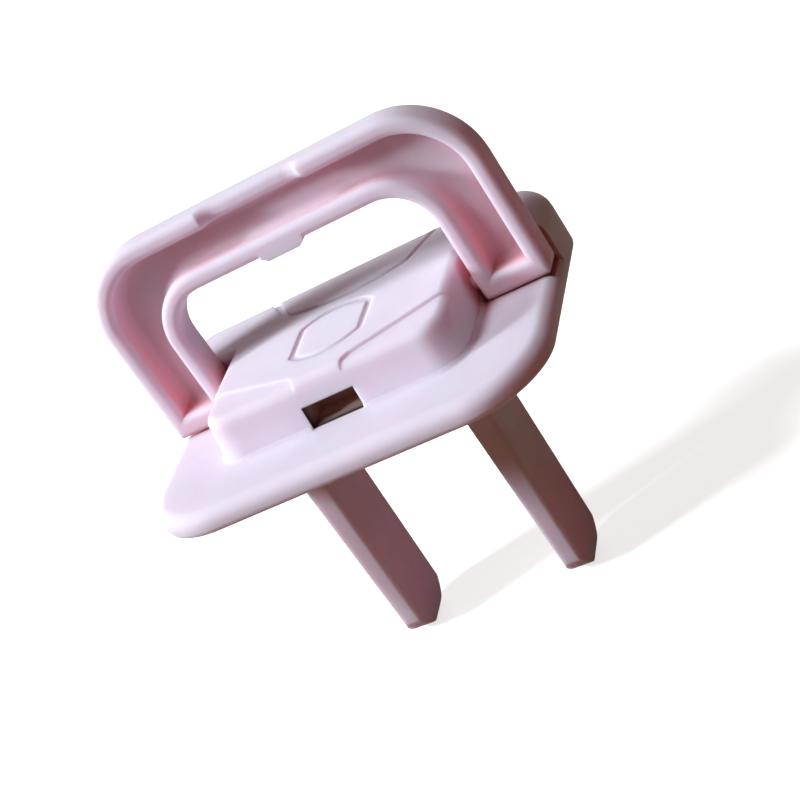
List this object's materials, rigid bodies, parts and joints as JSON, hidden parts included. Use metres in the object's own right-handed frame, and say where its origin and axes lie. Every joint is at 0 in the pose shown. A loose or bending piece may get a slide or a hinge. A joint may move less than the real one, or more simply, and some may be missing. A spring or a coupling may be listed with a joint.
{
  "type": "outlet safety cover",
  "caption": "Two-blade plastic plug-in cover for a wall outlet, with a raised block, a latch slot and a folding U-shaped pull handle.",
  "frame": {"origin": "midway between the blades, on the face of the plate that lies on the outlet", "axes": "+Z away from the outlet, blades along -Z, X along the hinge line and through both blades, -Y towards the side the handle folds over"},
  "size_m": [0.0296, 0.021, 0.0342],
  "materials": {
    "shell": "satin moulded polypropylene, slightly translucent"
  },
  "bodies": {
    "cover": {"cover_base": "shell"},
    "handle": {"pull_handle": "shell"}
  },
  "joints": [
    {"name": "handle_fold", "type": "hinge", "parent": "cover", "child": "handle", "pos_m": [0, 0.00155, 0.00285], "axis": [1, 0, 0], "range_deg": [0, 90]}
  ]
}
